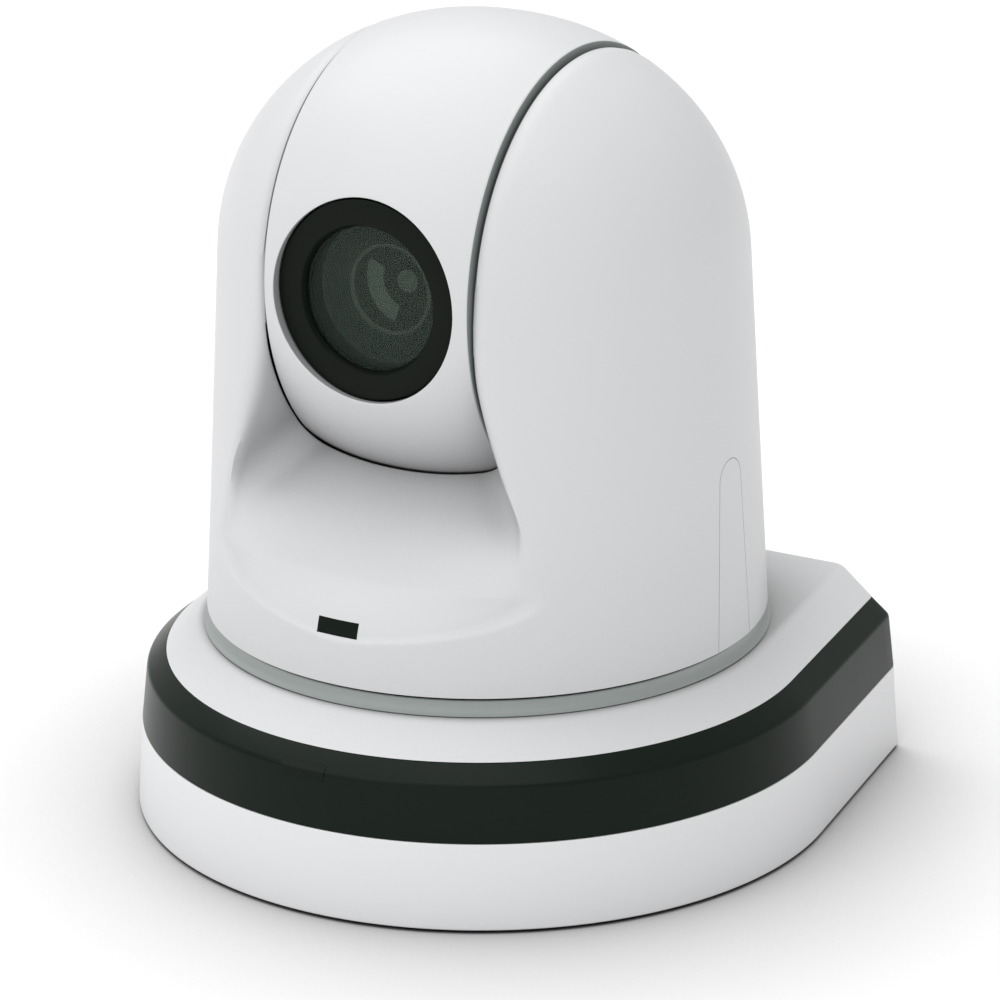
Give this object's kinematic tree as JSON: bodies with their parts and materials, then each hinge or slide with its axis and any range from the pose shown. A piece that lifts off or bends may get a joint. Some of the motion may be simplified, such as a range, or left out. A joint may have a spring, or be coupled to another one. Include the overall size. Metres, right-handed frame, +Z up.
{
  "type": "ptz camera",
  "caption": "Pan and tilt zoom camera: a domed white head with a tilting lens block between two arms, turning on a low horseshoe base with a black band and a rear connector bay.",
  "frame": {"origin": "mouth of the tripod socket, on the pan axis, level with the faces of the feet", "axes": "+Z up along the pan axis, -Y the way the lens looks at rest, +X to the right of the camera as seen from its front"},
  "size_m": [0.16, 0.146, 0.1796],
  "materials": {
    "white_plastic": "fine satin",
    "black_plastic": "satin",
    "grey_plastic": "satin",
    "steel": "satin",
    "cast_metal": "cast",
    "rubber": "matte",
    "dark_plastic": "fine texture",
    "socket_metal": "plated",
    "circuit_board": "solder mask",
    "dark_window": "polished",
    "motor_metal": "satin",
    "brass": "machined",
    "gear_plastic": "moulded",
    "lens_glass": "coated"
  },
  "bodies": {
    "base": {"base_housing": "white_plastic", "base_band": "black_plastic", "base_deck": "white_plastic", "collar_ring": "grey_plastic", "bottom_plate": "steel", "tripod_insert": "steel", "foot_pads": "rubber", "plate_screws": "steel", "connector_panel": "dark_plastic", "dc_jack": "dark_plastic", "lan_jack": "socket_metal", "serial_jack": "socket_metal", "audio_jacks": "dark_plastic", "usb_port": "socket_metal", "hdmi_port": "socket_metal", "sdi_connector": "socket_metal", "main_board": "circuit_board", "board_spacers": "steel", "remote_window": "dark_window", "pan_frame": "cast_metal", "frame_posts": "steel", "pan_bearing": "steel", "pan_motor": "motor_metal"},
    "pan_drive": {"pan_pinion": "brass"},
    "head": {"pan_shaft": "steel", "pan_gear": "gear_plastic", "yoke_base": "cast_metal", "yoke_left": "cast_metal", "yoke_right": "cast_metal", "head_front_cover": "white_plastic", "head_rear_cover": "white_plastic", "side_insert_left": "white_plastic", "side_insert_right": "white_plastic", "status_lamp": "dark_window", "tilt_bearing_left": "steel", "tilt_bearing_right": "steel", "tilt_motor": "motor_metal", "head_board": "circuit_board", "cover_screws": "steel"},
    "tilt_drive": {"tilt_pinion": "brass"},
    "block": {"block_front_shell": "white_plastic", "block_rear_shell": "white_plastic", "lens_bezel": "black_plastic", "lens_glass": "lens_glass", "lens_barrel": "dark_plastic", "front_element": "lens_glass", "lens_frame": "cast_metal", "block_screws": "steel", "tilt_shaft_left": "steel", "tilt_shaft_right": "steel", "tilt_gear": "gear_plastic", "guide_rods": "steel", "sensor_board": "circuit_board", "image_sensor": "dark_window"},
    "zoom": {"zoom_group": "dark_plastic"},
    "focus": {"focus_group": "dark_plastic"}
  },
  "joints": [
    {"name": "pan", "type": "hinge", "parent": "base", "child": "head", "pos_m": [0, 0, 0.034], "axis": [0, 0, 1], "range_deg": [-175, 175]},
    {"name": "pan_drive_spin", "type": "hinge", "parent": "base", "child": "pan_drive", "pos_m": [0, -0.0376, 0.0225], "axis": [0, 0, 1], "range_deg": [-701, 701]},
    {"name": "tilt", "type": "hinge", "parent": "head", "child": "block", "pos_m": [0, 0, 0.1265], "axis": [-1, 0, 0], "range_deg": [-30, 90]},
    {"name": "tilt_drive_spin", "type": "hinge", "parent": "head", "child": "tilt_drive", "pos_m": [0.049, 0, 0.0969], "axis": [-1, 0, 0], "range_deg": [-265, 89]},
    {"name": "zoom_slide", "type": "slide", "parent": "block", "child": "zoom", "axis": [0, 1, 0], "range_m": [0, 0.016]},
    {"name": "focus_slide", "type": "slide", "parent": "block", "child": "focus", "axis": [0, 1, 0], "range_m": [-0.003, 0.003]}
  ],
  "couplings": [
    {"joint": "pan_drive_spin", "follows": "pan", "ratio": -4},
    {"joint": "tilt_drive_spin", "follows": "tilt", "ratio": -2.9333}
  ]
}
